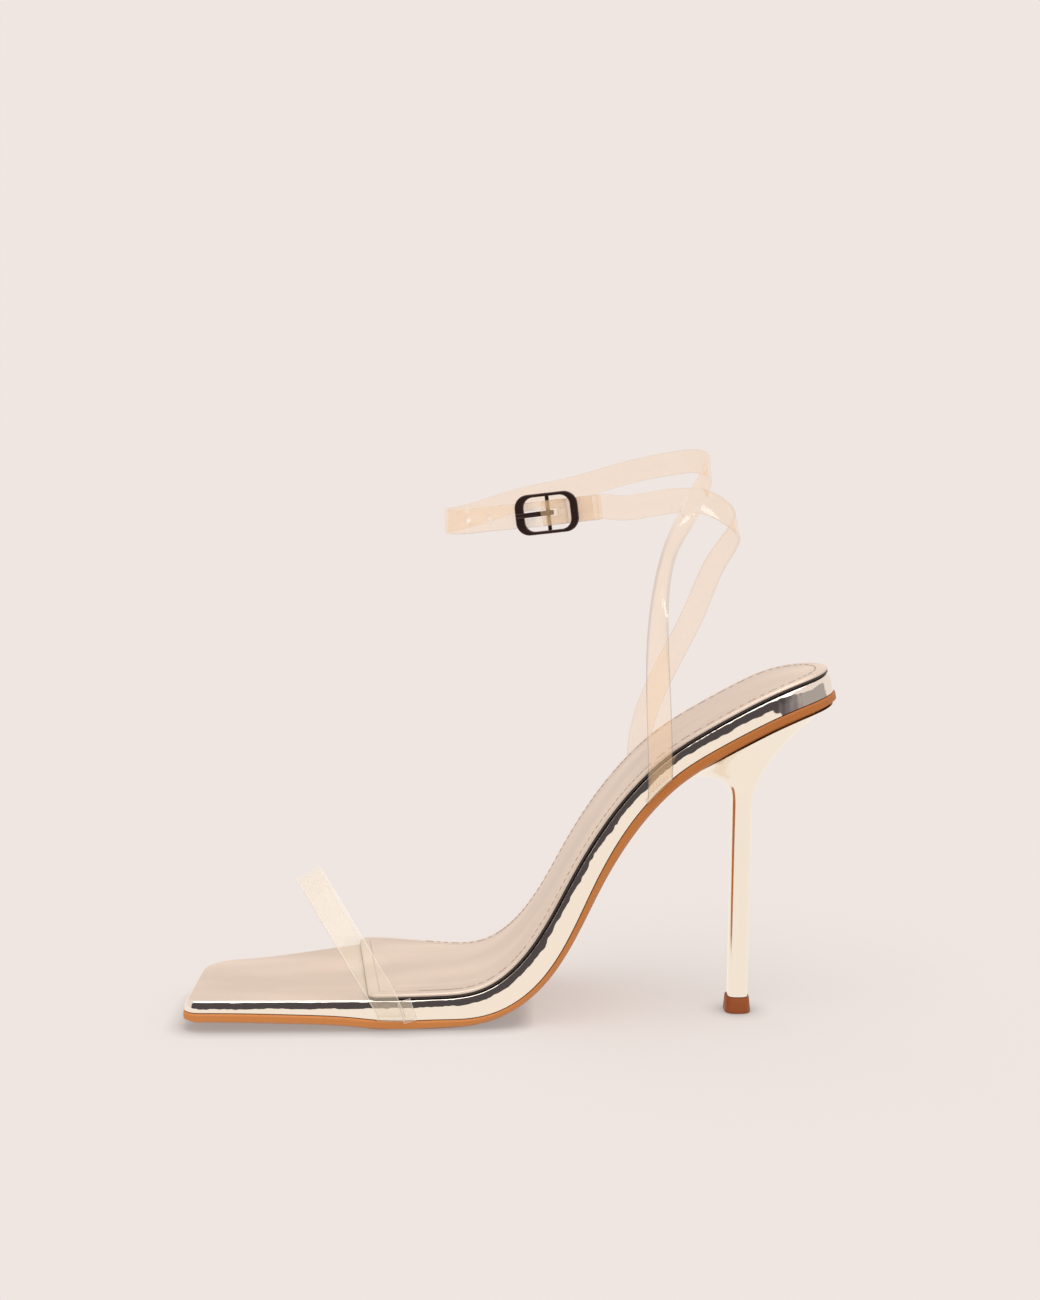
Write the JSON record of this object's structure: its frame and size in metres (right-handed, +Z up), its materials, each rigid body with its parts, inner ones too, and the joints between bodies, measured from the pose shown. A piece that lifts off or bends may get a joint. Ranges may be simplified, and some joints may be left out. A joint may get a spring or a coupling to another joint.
{
  "type": "strappy heeled sandal",
  "caption": "Right high-heeled sandal with clear toe and ankle straps, a small pin buckle and a square toe.",
  "frame": {"origin": "middle of the sandal's footprint on the plane it stands on", "axes": "+Z up, -X towards the toe, -Y towards the inner side of the foot"},
  "size_m": [0.2016, 0.0766, 0.176],
  "materials": {
    "outsole": "smooth tan synthetic sole, low gloss",
    "mirror_foil": "mirror rose-gold foil wrapped round the board and the heel",
    "satin_sock": "satin pinkish-beige metallic lining with a stitched rim",
    "heel_tip": "brown satin tip",
    "clear_plastic": "clear soft plastic strap, polished",
    "buckle_metal": "polished gunmetal"
  },
  "bodies": {
    "root": {"outsole": "outsole", "wrapped_board": "mirror_foil", "sock": "satin_sock", "heel": "mirror_foil", "heel_tip": "heel_tip", "toe_strap": "clear_plastic", "ankle_straps": "clear_plastic", "buckle_frame": "buckle_metal", "buckle_prong": "buckle_metal"}
  },
  "joints": []
}
